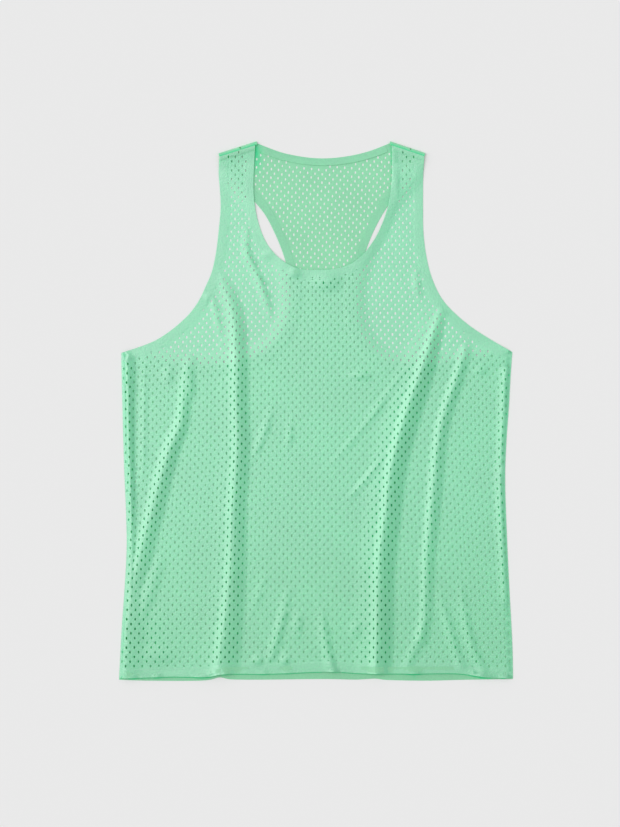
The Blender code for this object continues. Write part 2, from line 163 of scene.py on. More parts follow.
# Folds of the front panel, from the top down: columns x, y of the crest, its height, and the reach
# of its left and right flank
FOLDS = {
    "left_main": [
        (-123.0, 172.0, 0.5, 7.4, 10.5),
        (-108.5, 128.0, 1.7, 8.3, 14.3),
        (-104.6, 79.0, 2.3, 8.3, 15.3),
        (-104.1, 14.0, 2.6, 7.8, 15.3),
        (-102.9, -50.0, 2.7, 7.8, 16.2),
        (-108.7, -128.0, 2.7, 7.8, 17.2),
        (-110.8, -194.0, 2.7, 7.8, 19.0),
        (-116.8, -259.0, 2.9, 8.3, 22.0),
        (-124.0, -311.0, 2.9, 9.2, 25.0),
        (-127.5, -343.5, 2.7, 9.2, 26.0),
    ],
    "right_main": [
        (162.0, 130.0, 0.5, 6.7, 8.1),
        (145.1, 80.0, 2.5, 8.0, 14.5),
        (134.1, 47.0, 2.9, 7.5, 17.0),
        (119.8, 8.0, 3.1, 7.8, 19.0),
        (105.9, -38.0, 3.1, 7.6, 19.0),
        (95.4, -83.0, 3.1, 7.3, 19.5),
        (89.6, -135.0, 3.1, 7.3, 19.5),
        (81.8, -194.0, 3.1, 7.3, 20.0),
        (79.6, -252.0, 3.1, 7.6, 20.0),
        (78.2, -311.0, 3.1, 7.8, 20.0),
        (76.0, -340.8, 2.9, 7.5, 20.2),
    ],
    "right_second": [
        (193.9, 80.0, 1.1, 8.1, 8.5),
        (181.4, 40.0, 2.1, 8.1, 9.5),
        (167.0, -1.0, 2.1, 8.1, 10.4),
        (158.8, -38.0, 2.2, 8.1, 10.4),
        (153.3, -90.0, 2.2, 8.1, 11.4),
        (148.3, -142.0, 2.1, 8.1, 11.4),
        (143.6, -194.0, 1.7, 8.1, 10.4),
        (141.6, -252.0, 1.4, 8.1, 10.4),
        (136.4, -298.0, 1.0, 9.0, 10.4),
    ],
    "left_slant": [
        (-164.0, 66.0, 0.7, 8.5, 9.0),
        (-169.0, 44.0, 1.4, 8.5, 9.0),
        (-172.3, 14.0, 1.8, 8.5, 10.0),
        (-177.5, -18.0, 2.6, 9.5, 11.0),
        (-189.6, -47.0, 3.2, 10.4, 13.0),
        (-201.0, -84.0, 3.2, 10.4, 14.0),
        (-211.0, -122.0, 2.9, 10.4, 15.0),
        (-221.5, -160.0, 2.6, 9.5, 15.0),
        (-231.0, -200.0, 2.2, 9.5, 16.0),
        (-240.0, -240.0, 0.6, 9.5, 12.0),
    ],
    "left_low": [
        (-204.0, -196.0, 0.5, 12.0, 10.0),
        (-214.5, -230.0, 0.9, 13.0, 10.0),
        (-228.0, -264.0, 0.8, 12.0, 10.0),
        (-236.0, -290.0, 0.4, 10.0, 10.0),
    ],
    "left_roll": [
        (-248.5, 66.0, 3.2, 5.5, 13.0),
        (-248.0, 35.0, 3.8, 6.0, 13.0),
        (-247.0, -10.0, 3.2, 6.5, 10.0),
        (-245.0, -60.0, 2.4, 7.5, 8.0),
        (-242.0, -120.0, 1.8, 8.0, 7.0),
        (-242.0, -170.0, 1.0, 8.0, 9.0),
        (-246.0, -215.0, 1.6, 7.0, 18.0),
        (-249.0, -265.0, 2.2, 6.0, 26.0),
        (-251.0, -310.0, 2.2, 5.0, 26.0),
        (-252.0, -342.0, 1.6, 5.0, 22.0),
    ],
    "right_roll": [
        (250.0, 50.0, 1.8, 12.0, 4.0),
        (247.5, 0.0, 2.0, 12.0, 4.0),
        (245.0, -60.0, 2.0, 12.0, 4.0),
        (244.5, -120.0, 2.0, 12.0, 4.0),
        (247.0, -190.0, 1.8, 12.0, 4.0),
        (250.0, -245.0, 0.9, 12.0, 4.0),
    ],
}

# The cloth left of two folds rises towards them: by how much, and from how far away
STEPS = {"left_main": (1.0, 24.0), "right_main": (1.8, 28.0)}

# Finer creases of the front panel, with the same columns
CREASES = {
    "left_chest": [
        (-90.0, 236.0, 0.4, 7.0, 5.0),
        (-89.0, 203.0, 1.3, 8.0, 5.5),
        (-77.0, 179.0, 1.5, 8.0, 5.5),
        (-67.0, 151.0, 1.3, 8.0, 5.5),
        (-59.0, 122.0, 0.3, 7.0, 5.0),
    ],
    "left_armhole": [
        (-136.0, 150.0, 0.3, 6.0, 5.0),
        (-130.0, 128.0, 1.0, 6.0, 5.0),
        (-126.0, 104.0, 0.3, 6.0, 5.0),
    ],
    "right_long": [
        (112.0, 51.0, 0.2, 6.0, 5.0),
        (87.0, 14.0, 0.7, 7.0, 6.0),
        (65.0, -17.0, 0.6, 7.0, 6.0),
        (38.0, -49.0, 0.6, 7.0, 6.0),
        (18.0, -72.0, 0.2, 6.0, 5.0),
    ],
    "right_middle": [
        (84.0, -64.0, 0.3, 6.0, 5.0),
        (64.0, -90.0, 1.3, 7.0, 6.0),
        (43.0, -114.0, 0.3, 6.0, 5.0),
    ],
    "left_middle": [
        (-57.0, 6.0, 0.2, 7.0, 5.0),
        (-68.0, -30.0, 0.9, 8.0, 6.0),
        (-84.0, -66.0, 0.2, 7.0, 5.0),
    ],
    "centre": [
        (-33.0, -12.0, 0.2, 6.0, 5.0),
        (-34.0, -30.0, 0.8, 6.0, 5.0),
        (-36.0, -46.0, 0.2, 6.0, 5.0),
    ],
    "hem_left": [
        (-37.0, -236.0, 0.3, 7.0, 6.0),
        (-46.0, -278.0, 1.3, 9.0, 7.0),
        (-58.0, -320.0, 0.8, 9.0, 7.0),
    ],
    "hem_left_outer": [
        (-66.0, -214.0, 0.2, 6.0, 5.0),
        (-74.0, -238.0, 0.4, 7.0, 6.0),
        (-84.0, -262.0, 0.2, 6.0, 5.0),
    ],
    "hem_centre": [
        (7.0, -258.0, 0.2, 7.0, 6.0),
        (12.0, -298.0, 1.3, 9.0, 7.0),
        (21.0, -339.0, 1.7, 9.0, 8.0),
    ],
    "hem_right": [
        (160.0, -236.0, 0.2, 7.0, 6.0),
        (174.0, -287.0, 1.0, 8.0, 7.0),
        (188.0, -332.0, 0.8, 9.0, 8.0),
    ],
    "hem_right_outer": [
        (188.0, -226.0, 0.2, 7.0, 6.0),
        (194.0, -270.0, 0.9, 8.0, 7.0),
        (202.0, -304.0, 1.0, 8.0, 7.0),
        (216.0, -336.0, 0.8, 9.0, 8.0),
    ],
    "second_tail": [
        (144.0, -268.0, 0.3, 8.0, 7.0),
        (128.0, -308.0, 0.9, 9.0, 8.0),
        (117.0, -334.0, 0.6, 9.0, 8.0),
    ],
    "right_chest": [
        (130.0, 184.0, 0.2, 6.0, 5.0),
        (131.0, 165.0, 1.0, 7.0, 5.0),
        (134.0, 146.0, 0.2, 6.0, 5.0),
    ],
    "right_strap": [
        (100.0, 336.0, 0.4, 6.0, 6.0),
        (101.5, 312.0, 1.2, 7.0, 6.0),
        (103.0, 284.0, 0.3, 6.0, 6.0),
    ],
    "left_fine": [
        (-223.0, 72.0, 0.2, 5.0, 5.0),
        (-223.0, 20.0, 0.6, 5.0, 5.0),
        (-224.0, -40.0, 0.6, 5.0, 5.0),
        (-225.0, -90.0, 0.2, 5.0, 5.0),
    ],
    "left_line": [
        (-242.0, 20.0, 0.3, 5.0, 5.0),
        (-240.5, -60.0, 0.8, 6.0, 5.0),
        (-240.0, -180.0, 0.3, 5.0, 5.0),
    ],
}

# Places where the front panel stands a little off the back: x, y, height, reach across and down
LIFTS = [
    (-62.0, 204.0, 0.8, 12.0, 9.0),
    (-28.0, 180.0, 1.2, 12.0, 10.0),
    (14.0, 168.0, 1.6, 28.0, 18.0),
    (-142.0, 148.0, 0.8, 7.0, 10.0),
    (-192.0, 47.0, 1.0, 10.0, 18.0),
    (-162.0, 33.0, 1.0, 9.0, 26.0),
    (58.0, 46.0, 1.1, 22.0, 8.0),
    (-24.0, -278.0, 0.9, 9.0, 24.0),
    (51.0, -284.0, 0.9, 10.0, 16.0),
    (-76.0, -324.0, 1.0, 12.0, 9.0),
    (-40.0, -324.0, 1.0, 10.0, 9.0),
    (214.0, 53.0, 1.0, 12.0, 9.0),
    (-206.0, -318.0, 0.8, 32.0, 20.0),
    (-250.0, -290.0, 1.3, 100.0, 80.0),
]

# Places where the front hem's edge stands up more: x, how many lips more, reach
HEM_GAPS = [
    (-238.0, 0.5, 10.0),
    (-206.0, 0.8, 10.0),
    (-147.0, 1.3, 18.0),
    (-118.0, 0.8, 8.0),
    (-69.0, 0.5, 10.0),
    (-37.0, 0.4, 9.0),
    (25.0, 0.4, 10.0),
    (80.0, 0.5, 7.0),
    (127.0, 1.3, 15.0),
    (215.0, 1.2, 22.0),
    (246.0, 0.9, 9.0),
]

# Painted shade on the back's inner face where it lies in a strap's shade: x, y, share, reach across
# and down
STRAP_SHADE = [(-78.0, 330.0, 0.8, 12.0, 34.0)]


# Curves


def lengths(path):
    """How far along path each of its points lies."""
    steps = np.linalg.norm(np.diff(path[:, :2], axis=0), axis=1)
    return np.concatenate([[0.0], np.cumsum(steps)])


def smooth(rows, step):
    """A smooth curve through rows, with a point about every step; further columns follow along."""
    rows = np.array(rows, float)
    places = lengths(rows)
    near = np.clip([np.arange(len(rows)) - 1, np.arange(len(rows)) + 1], 0, len(rows) - 1)
    slopes = (rows[near[1]] - rows[near[0]]) / (places[near[1]] - places[near[0]])[:, None]
    wanted = np.linspace(0.0, places[-1], max(2, round(places[-1] / step) + 1))
    first = np.clip(np.searchsorted(places, wanted, "right") - 1, 0, len(rows) - 2)
    span = (places[first + 1] - places[first])[:, None]
    s = (wanted - places[first])[:, None] / span
    start = (2 * s**3 - 3 * s**2 + 1) * rows[first] + (s**3 - 2 * s**2 + s) * span * slopes[first]
    end = (3 * s**2 - 2 * s**3) * rows[first + 1] + (s**3 - s**2) * span * slopes[first + 1]
    return start + end


def to_left(path, width):
    """path moved to its left, which is inwards on a counter-clockwise edge."""
    along = np.gradient(path, axis=0)
    along /= np.linalg.norm(along, axis=1)[:, None]
    return path + np.reshape(width, (-1, 1)) * np.column_stack([-along[:, 1], along[:, 0]])


def without_ends(path, start, end):
    """The points of path that lie further than start and end from its ends."""
    places = lengths(path)
    return path[(places >= start) & (places <= places[-1] - end)]


def to_segments(points, path):
    """Each point's nearest place on path: distance, segment, share along it, side (left is +)."""
    first, along = path[:-1, :2], np.diff(path[:, :2], axis=0)
    from_first = points[:, None, :] - first
    share = np.clip((from_first * along).sum(2) / (along**2).sum(1), 0.0, 1.0)
    away = from_first - share[..., None] * along
    away_length = np.linalg.norm(away, axis=2)
    nearest = away_length.argmin(1)
    rows = np.arange(len(points))
    turn = along[nearest, 0] * away[rows, nearest, 1] - along[nearest, 1] * away[rows, nearest, 0]
    return away_length[rows, nearest], nearest, share[rows, nearest], turn


def tree_of(points):
    """A search tree of points."""
    tree = KDTree(len(points))
    for number, (x, y) in enumerate(np.array(points).tolist()):
        tree.insert((x, y, 0.0), number)
    tree.balance()
    return tree


def near(*paths):
    """A search tree of close points along paths."""
    dense = []
    for path in paths:
        places = lengths(path)
        wanted = np.linspace(0.0, places[-1], int(places[-1] / TREE_STEP) + 2)
        columns = [np.interp(wanted, places, column) for column in path[:, :2].T]
        dense.append(np.column_stack(columns))
    return tree_of(np.concatenate(dense))


def distance(points, tree):
    """How far each point lies from what the tree holds."""
    return np.array([tree.find((x, y, 0.0))[2] for x, y in points.tolist()])


def inside(points, ring):
    """Whether each point lies inside the closed ring."""
    x, y = points[:, 0, None], points[:, 1, None]
    x0, y0 = ring.T
    x1, y1 = np.roll(ring, -1, axis=0).T
    crosses = (y0 > y) != (y1 > y)
    rise = np.where(y1 == y0, 1.0, y1 - y0)
    return (crosses & (x < (x1 - x0) * (y - y0) / rise + x0)).sum(1) % 2 == 1


def ease(share):
    """0 up to share 0, 1 from share 1 on, and smooth between."""
    share = np.clip(share, 0.0, 1.0)
    return share * share * (3 - 2 * share)


def closed(ring):
    """The ring with its first point again at its end."""
    return np.vstack([ring, ring[:1]])


# Outlines, from the frame

UPWARD, DOWNWARD = 0.3, -0.9  # how steeply an upper face and the underside look up and down
EDGE_NAMES = [
    "hem",
    "right_side",
    "right_arm",
    "right_shoulder",
    "neck",
    "left_shoulder",
    "left_arm",
    "left_side",
]


def rim_of(node, wanted):
    """The plan of the rim round a CAD node's wanted faces, counter-clockwise, in millimetres."""
    solid = bmesh.new()
    solid.from_mesh(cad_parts[node].data)
    bmesh.ops.remove_doubles(solid, verts=solid.verts, dist=SAME_POINT * MM)
    kept = {face for face in solid.faces if wanted(face)}
    follows = {}
    for face in kept:
        for loop in face.loops:
            if loop.link_loop_radial_next.face not in kept:
                follows[loop.vert] = loop.link_loop_next.vert
    first = vert = next(iter(follows))
    ring = []
    while not ring or vert is not first:
        ring.append((vert.co.x / MM, vert.co.y / MM))
        vert = follows[vert]
    solid.free()
    ring = np.array(ring)
    x, y = ring.T
    turns_left = (x * np.roll(y, -1) - y * np.roll(x, -1)).sum() > 0
    return ring if turns_left else ring[::-1]


def edges_of(ring):
    """The ring parted at its eight corners, from the hem's left end on."""
    before, after = ring - np.roll(ring, 1, axis=0), np.roll(ring, -1, axis=0) - ring
    across = before[:, 0] * after[:, 1] - before[:, 1] * after[:, 0]
    turn = np.arctan2(across, (before * after).sum(1))
    corners = np.sort(np.argsort(-np.abs(turn))[: len(EDGE_NAMES)])
    first = corners[ring[corners].sum(1).argmin()]
    ring = np.roll(ring, -first, axis=0)
    corners = np.append(np.sort((corners - first) % len(ring)), len(ring))
    ring = closed(ring)
    return {name: ring[a : b + 1] for name, a, b in zip(EDGE_NAMES, corners, corners[1:])}


def is_upper(face):
    return face.normal.z > UPWARD


def is_flat_underside(face):
    on_table = max(vert.co.z for vert in face.verts) < SAME_POINT * MM
    return on_table and face.normal.z < DOWNWARD


FRONT_EDGES = edges_of(rim_of("front_panel", is_upper))
BACK_EDGES = edges_of(rim_of("back_panel", is_flat_underside))
FRONT = {name: smooth(edge, RING_STEP) for name, edge in FRONT_EDGES.items()}
BACK = {name: smooth(edge, RING_STEP) for name, edge in BACK_EDGES.items()}
SHOULDER_NAMES = ("right_shoulder", "left_shoulder")
NEAR_FRONT = {name: near(edge) for name, edge in FRONT.items()}
NEAR_FRONT_SIDES = near(FRONT["right_side"], FRONT["left_side"])
NEAR_SEAMS = near(*[FRONT[name] for name in SHOULDER_NAMES])
NEAR_BACK = {name: near(edge) for name, edge in BACK.items()}
NEAR_BACK_SIDES = near(BACK["right_side"], BACK["left_side"])
NEAR_BACK_OPEN = near(*[BACK[name] for name in BAND_WIDTHS])


def ring_of(paths):
    """Paths that follow each other as one closed ring, without the points that two share."""
    points = np.concatenate(list(paths))
    apart = np.linalg.norm(points - np.roll(points, 1, axis=0), axis=1) > SAME_POINT
    return points[apart]


FRONT_RING = ring_of(FRONT.values())
BACK_RING = ring_of(BACK.values())


def outward(line):
    """The direction to the right of a straight line, which is out of a counter-clockwise ring."""
    along = line[-1] - line[0]
    along = along / np.linalg.norm(along)
    return np.array([along[1], -along[0]])


def turn_line(name):
    """Where the back panel starts to turn over at a shoulder."""
    line = BACK_EDGES[name][[0, -1]]
    return line + (CAD_TURN - TURN_OUTER) * outward(line)


TURNS = {name: turn_line(name) for name in SHOULDER_NAMES}


def band_strip(panel, edge, to_shoulder):
    """The outline of the band along an edge: its outer side, then its inner side back."""
    ends = {
        "hem": (BAND_TO_SIDE, BAND_TO_SIDE),
        "right_arm": (BAND_TO_SIDE, to_shoulder),
        "neck": (to_shoulder, to_shoulder),
        "left_arm": (to_shoulder, BAND_TO_SIDE),
    }
    outer = without_ends(panel[edge], *ends[edge])
    return np.concatenate([outer, to_left(outer, BAND_WIDTHS[edge])[::-1]])


# Heights

# A fold's flanks fall from 1 at its crest to 0 at their reach: powers of the share of that reach,
# with their weights
LEFT_FLANK = {1: -1.2, 2: -0.6, 3: 0.8}
RIGHT_FLANK = {1: -0.8, 2: -0.54, 5: 0.16, 6: 0.18}
CREST_ROUND = 0.18


def profile(share, on_left):
    """A fold's cross section: steep at once on its left, slower on its right."""
    share = np.clip(np.sqrt(share**2 + CREST_ROUND**2) - CREST_ROUND, 0.0, 1.0)
    flanks = [
        sum((weight * share**power for power, weight in flank.items()), start=1)
        for flank in (LEFT_FLANK, RIGHT_FLANK)
    ]
    return np.where(on_left, *flanks)


FOLD_PATHS = {name: smooth(rows, PATH_STEP) for name, rows in FOLDS.items()}
CREASE_PATHS = {name: smooth(rows, PATH_STEP) for name, rows in CREASES.items()}
for name, (step, reach) in STEPS.items():
    CREASE_PATHS[name] = FOLD_PATHS[name].copy()
    CREASE_PATHS[name][:, 2] *= step / FOLD_PATHS[name][:, 2].max()
    CREASE_PATHS[name][:, 3] = reach


def ridge(points, path):
    """How far a fold lifts each point."""
    reach = path[:, 3:].max()
    low, high = path[:, :2].min(0) - reach, path[:, :2].max(0) + reach
    close = np.all((points > low) & (points < high), axis=1)
    height = np.zeros(len(points))
    if close.any():
        away, segment, share, turn = to_segments(points[close], path)
        row = path[segment] + share[:, None] * (path[segment + 1] - path[segment])
        reach = np.where(turn < 0, row[:, 3], row[:, 4])
        height[close] = row[:, 2] * profile(away / reach, turn < 0)
    return height


def mounds(points, rows):
    """The sum of round rises over points."""
    height = np.zeros(len(points))
    for x, y, lift, across, down in rows:
        away = np.hypot((points[:, 0] - x) / across, (points[:, 1] - y) / down)
        height += lift * (1 + np.cos(np.pi * np.clip(away, 0.0, 1.0))) / 2
    return height


def hem_gap(points):
    """How high the front hem stands up at each point's place along it, beside its usual lip."""
    rows = [(x, 0.0, more, reach, 1.0) for x, more, reach in HEM_GAPS]
    return 1 + mounds(points * [1.0, 0.0], rows)


def folds(points):
    """How far all folds, creases and lifts raise each point."""
    height = np.max([ridge(points, path) for path in FOLD_PATHS.values()], axis=0)
    height += np.sum([ridge(points, path) for path in CREASE_PATHS.values()], axis=0)
    return height + mounds(points, LIFTS)


def over_bands(points, near_edges):
    """1 over a panel's bands, 0 past the slope at their inner edges."""
    past = [
        distance(points, near_edges[edge]) - width - BAND_MARGIN
        for edge, width in BAND_WIDTHS.items()
    ]
    return 1 - ease(np.min(past, axis=0) / BAND_SHEER)


def under_front(points):
    """Height that the table, the back panel and the back bands hold the front's underside at."""
    to_side = distance(points, NEAR_BACK_SIDES)
    over_back = inside(points, BACK_RING) | (to_side < SIDE_MARGIN)
    to_edge = distance(points, NEAR_BACK_OPEN)
    over_band = 1 - ease((to_edge - ARM_BAND) / REST_EASE)
    from_side = ease(to_side / BAND_TO_SIDE)
    on_back = BACK_TOP + SEAT + (REST - SEAT) * from_side + BAND_LIFT * (over_band * from_side)
    highest = BAND_TOP + REST
    on_table = highest + (TABLE_REST - highest) * ease(to_edge / TABLE_EASE)
    return np.where(over_back, on_back, on_table)


def front_height(points):
    """Height of the front panel's underside."""
    from_side = ease(distance(points, NEAR_FRONT_SIDES) / BAND_TO_SIDE)
    height = under_front(points) + BAND_LIFT * over_bands(points, NEAR_FRONT) * from_side
    to_seam = distance(points, NEAR_SEAMS)
    height += (SHOULDER_STACK - height) * (1 - ease(to_seam / SHOULDER_EASE))
    height += SEAM_LIFT * (1 - ease((to_seam - SEAM_LAP) / BAND_SHEER))
    at_hem = 1 - ease(distance(points, NEAR_FRONT["hem"]) / HEM_LIP_REACH)
    height += HEM_LIP * hem_gap(points) * at_hem * from_side
    return height + folds(points) * from_side


def front_slope(points):
    """How steeply the front panel rises along x and along y."""
    halves = SLOPE_STEP * np.eye(2) / 2
    rises = [front_height(points + half) - front_height(points - half) for half in halves]
    return np.column_stack([rise / SLOPE_STEP for rise in rises])


# Eyelets


def row_heights(table):
    """The height of each row of eyelets at the middle column, counted from the row at 0."""
    rows = {0: 0.0}
    for way, last in ((1, table[-1, 0]), (-1, table[0, 0])):
        number, y = 0, 0.0
        while abs(y) < abs(last):
            y += way * np.interp(y, table[:, 0], table[:, 3]) / 2
            number += way
            rows[number] = y
    return rows.items()


def eyelets(mesh_rows, shift, kept):
    """Each eyelet's middle and how wide it looks; they keep their place in the folded cloth."""
    table = np.array(mesh_rows)[::-1]
    x = np.arange(-ROW_REACH, ROW_REACH, ROW_STEP)
    found = []
    for row, y in row_heights(table):
        values = [np.interp(y, table[:, 0], column) for column in table[:, 1:].T]
        left, right, _, arch, tilt, middle, size = values
        line = np.column_stack([x, y - arch * (x - middle) ** 2 - tilt * (x - middle)])
        height = folds(line)
        along = np.concatenate([[0.0], np.cumsum(np.hypot(np.diff(x), np.diff(height)))])
        along -= np.interp(middle, x, along)
        steps = np.arange(-ROW_EYELETS, ROW_EYELETS) + (row % 2) / 2 + shift
        places = steps * np.where(steps < 0, left, right)
        at = np.interp(places, along, x)
        seen = size * np.interp(at, x, np.gradient(x, along))
        found.append(np.column_stack([at, np.interp(at, x, line[:, 1]), seen])[np.abs(at) < x[-1]])
    found = np.concatenate(found)
    found[:, :2] += dice.normal(0.0, EYELET_STRAY, found[:, :2].shape)
    return found[kept(found[:, :2])]


def all_clear(points, gaps):
    """Whether each point lies further from each tree than the gap that goes with it."""
    return np.all([distance(points, tree) > gap for tree, gap in gaps], axis=0)


def band_gaps(near_edges):
    """How far eyelets stay from each open edge of a panel."""
    return [(near_edges[edge], width + EYELET_TO_BAND) for edge, width in BAND_WIDTHS.items()]


def front_kept(points):
    """Whether an eyelet at each point is cut in the front panel."""
    gaps = [(NEAR_FRONT_SIDES, EYELET_TO_SIDE), (NEAR_SEAMS, EYELET_TO_SEAM)]
    return inside(points, FRONT_RING) & all_clear(points, [*band_gaps(NEAR_FRONT), *gaps])


def oval(spot):
    """The ring of one eyelet."""
    angle = np.linspace(0.0, 2 * np.pi, EYELET_SIDES, endpoint=False) + np.pi / EYELET_SIDES
    size = dice.normal(1.0, EYELET_VARIATION)
    width, height = EYELET_WIDTH / 2 * spot[2] * size, EYELET_HEIGHT / 2 * size
    return spot[:2] + np.column_stack([width * np.cos(angle), height * np.sin(angle)])


def clear_of(spots, rims, gap):
    """Those of spots that lie further than gap from every point of rims."""
    tree = tree_of(rims)
    return [spot for spot in spots if tree.find((*spot, 0.0))[2] > gap]


def away_from_middle(points, holes):
    """For points on eyelets' rims, the direction out of their eyelet."""
    tree = tree_of([hole.mean(0) for hole in holes])
    away = points - np.array([tree.find((x, y, 0.0))[0][:2] for x, y in points.tolist()])
    return away / np.linalg.norm(away, axis=1)[:, None]


# Shells


def net(ring, lines, holes, crests):
    """Points and triangles that fill ring but for its holes, and which are on a hole's rim."""
    low, high = ring.min(0), ring.max(0)
    grid = np.mgrid[low[0] : high[0] : FILL_STEP, low[1] : high[1] : FILL_STEP].reshape(2, -1).T
    rims = np.concatenate([ring, *lines, *holes])
    middles = np.array([hole.mean(0) for hole in holes] or [ring[0]])
    crests = clear_of(crests, rims, CREST_CLEAR)
    crests = clear_of(crests, middles, EYELET_HEIGHT / 2 + CREST_CLEAR / 2)
    rims = np.concatenate([rims, np.reshape(crests, (-1, 2))])
    fill = clear_of(grid[inside(grid, ring)], rims, FILL_CLEAR)
    groups = [ring, *lines, *holes, np.reshape(crests + fill, (-1, 2))]
    firsts = np.cumsum([0] + [len(group) for group in groups])
    pairs = []
    for number, (group, first) in enumerate(zip(groups[:-1], firsts)):
        count = len(group)
        ends = count - 1 if 0 < number <= len(lines) else count
        pairs += [(int(first + i), int(first + (i + 1) % count)) for i in range(ends)]
    flat = [tuple(map(float, point)) for point in np.concatenate(groups)]
    found, _, triangles, sources, *_ = delaunay_2d_cdt(flat, pairs, [], 0, SAME_POINT)
    found = np.array([tuple(point) for point in found])
    triangles = np.array(triangles)
    group_of = np.repeat(np.arange(len(groups)), np.diff(firsts))
    hole_of = np.array([group_of[source[0]] if source else 0 for source in sources])
    hole_of[(hole_of <= len(lines)) | (hole_of == len(groups) - 1)] = 0
    in_hole = (hole_of[triangles[:, 0]] > 0) & (np.ptp(hole_of[triangles], axis=1) == 0)
    triangles = triangles[~in_hole & inside(found[triangles].mean(1), ring)]
    used, places = np.unique(triangles, return_inverse=True)  # rows may run on past the ring
    return found[used], places.reshape(triangles.shape), hole_of[used] > 0


def shell(name, triangles, lower, upper, material, hole_rim=None, slope=None):
    """A closed shell between the points of its lower and its upper face, its outer rim rounded."""
    count = len(lower)
    sides = {(a, b) for t in triangles.tolist() for a, b in zip(t, t[1:] + t[:1])}
    rim = [(a, b) for a, b in sides if (b, a) not in sides]
    on_hole = np.zeros(count, bool) if hole_rim is None else hole_rim
    faces = (triangles + count).tolist() + triangles[:, ::-1].tolist()
    middle = (lower + upper) / 2
    out = np.zeros_like(middle)
    outer = [(a, b) for a, b in rim if not on_hole[a]]
    for a, b in outer:
        away = np.cross(middle[b] - middle[a], upper[a] - lower[a])
        out[[a, b]] += away / np.linalg.norm(away)
    ring = sorted({a for a, _ in outer})
    number = {a: 2 * count + i for i, a in enumerate(ring)}
    out = out[ring] / np.linalg.norm(out[ring], axis=1)[:, None]
    for a, b in rim:
        if on_hole[a]:
            faces.append((a, b, b + count, a + count))
        else:
            faces += [(a, b, number[b], number[a]), (number[a], number[b], b + count, a + count)]
    points = np.concatenate([lower, upper, middle[ring] + RIM_ROUND * out])
    mesh = bpy.data.meshes.new(name)
    mesh.from_pydata((points * MM).tolist(), [], faces)
    mesh.shade_smooth()
    mesh.set_sharp_from_angle(angle=RIM_SHARP)
    if slope is not None:
        normals = np.zeros((len(mesh.loops), 3))
        facing = np.column_stack([-slope, np.ones(count)])
        facing /= np.linalg.norm(facing, axis=1)[:, None]
        half = triangles.size
        normals[:half] = facing[triangles.ravel()]
        normals[half : 2 * half] = -facing[triangles[:, ::-1].ravel()]
        mesh.normals_split_custom_set(normals.tolist())
    mesh.materials.append(material)
    piece = bpy.data.objects.new(name, mesh)
    bpy.context.collection.objects.link(piece)
    return piece


def at_height(points, height):
    """Points of the plan, placed at height."""
    return np.column_stack([points, np.broadcast_to(height, len(points))])


def inner_runs(line, ring):
    """The stretches of line that lie inside ring, well clear of it."""
    kept = inside(line, ring) & (distance(line, near(closed(ring))) > RING_CLEAR)
    runs, run = [], []
    for point, keep in zip(line, kept):
        if keep:
            run.append(point)
        elif run:
            runs.append(run)
            run = []
    runs.append(run)
    return [np.array(run) for run in runs if len(run) > 1]


def store(piece, name, share, on_rim):
    """Stores a share for each point of a shell's two faces, and on_rim for its outer rim."""
    values = np.resize(share, len(piece.data.vertices))
    values[2 * len(share) :] = on_rim
    piece.data.attributes.new(name, "FLOAT", "POINT").data.foreach_set("value", values)


def passed(values, ends):
    """0 where values are below the first of ends, 1 above the second."""
    low, high = ends
    return ease((values - low) / (high - low))


def seam_shade(points):
    """How much painted shade darkens the straps' seams, in shares of a band's tone."""
    tones = [
        tone * (1 - passed(distance(points, NEAR_FRONT[name]), ends))
        for name, (tone, *ends) in SEAM_SHADES.items()
    ]
    return np.max(tones, axis=0)


def fold_shade(points):
    """Painted shade on the back: 1 where the front panel stands well off the back, 0 where it rests
    on it or isn't over it.
    """
    gap = front_height(points) - BACK_TOP
    return np.where(inside(points, FRONT_RING), passed(gap, FOLD_SHADE_GAPS), 0.0)


def past_front(points, tree):
    """How far points lie past the front panel's edges in tree, 0 under the panel."""
    return distance(points, tree) * ~inside(points, FRONT_RING)


def front_net(holes):
    """The front panel's net, with rows of points along its slopes, folds and seams."""
    slopes = [
        to_left(FRONT[edge], width + past)
        for edge, width in BAND_WIDTHS.items()
        for past in SLOPE_ENDS
    ]
    lines = [run for line in slopes for run in inner_runs(line, FRONT_RING)]
    crests = [smooth(path, CREST_STEP)[:, :2] for path in [*FOLDS.values(), *CREASES.values()]]
    for rows in FOLDS.values():
        path = smooth(rows, CREST_STEP)
        reaches = [-share * path[:, 3] for share in LEFT_FLANK_ROWS]
        reaches += [share * path[:, 4] for share in RIGHT_FLANK_ROWS]
        crests += [to_left(path[:, :2], reach) for reach in reaches]
    for name in SHOULDER_NAMES:
        seam = smooth(FRONT_EDGES[name], SEAM_ROW_STEP)
        crests += [to_left(seam, reach) for reach in SEAM_ROWS]
    return net(FRONT_RING, lines, holes, np.concatenate(crests))


def front_pieces(cloth, band):
    """The front panel, and the bands under its open edges."""
    holes = [oval(spot) for spot in eyelets(FRONT_MESH, 0.0, front_kept)]
    points, triangles, hole_rim = front_net(holes)
    height = front_height(points) - EYELET_DIP * hole_rim
    lower, upper = at_height(points, height), at_height(points, height + WALL)
    slope = front_slope(points)
    slope[hole_rim] += EYELET_TILT * away_from_middle(points[hole_rim], holes)
    panel = shell("front_mesh", triangles, lower, upper, cloth, hole_rim, slope)
    # the bands' own bonded tone, and painted shade at the straps' seams
    bonded_and_seam_shade = np.maximum(over_bands(points, NEAR_FRONT), seam_shade(points))
    store(panel, "bonded_and_seam_shade", bonded_and_seam_shade, 1.0)
    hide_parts("front_panel")
    bands = []
    for edge in BAND_WIDTHS:
        points, triangles, _ = net(band_strip(FRONT, edge, BAND_TO_SHOULDER), [], [], [])
        top = front_height(points) - SEAT
        lower, upper = at_height(points, top - BAND_WALL), at_height(points, top)
        bands.append(shell(f"front_{edge}_tape", triangles, lower, upper, band))
        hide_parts(f"front_{edge}_band")
    return panel, bands


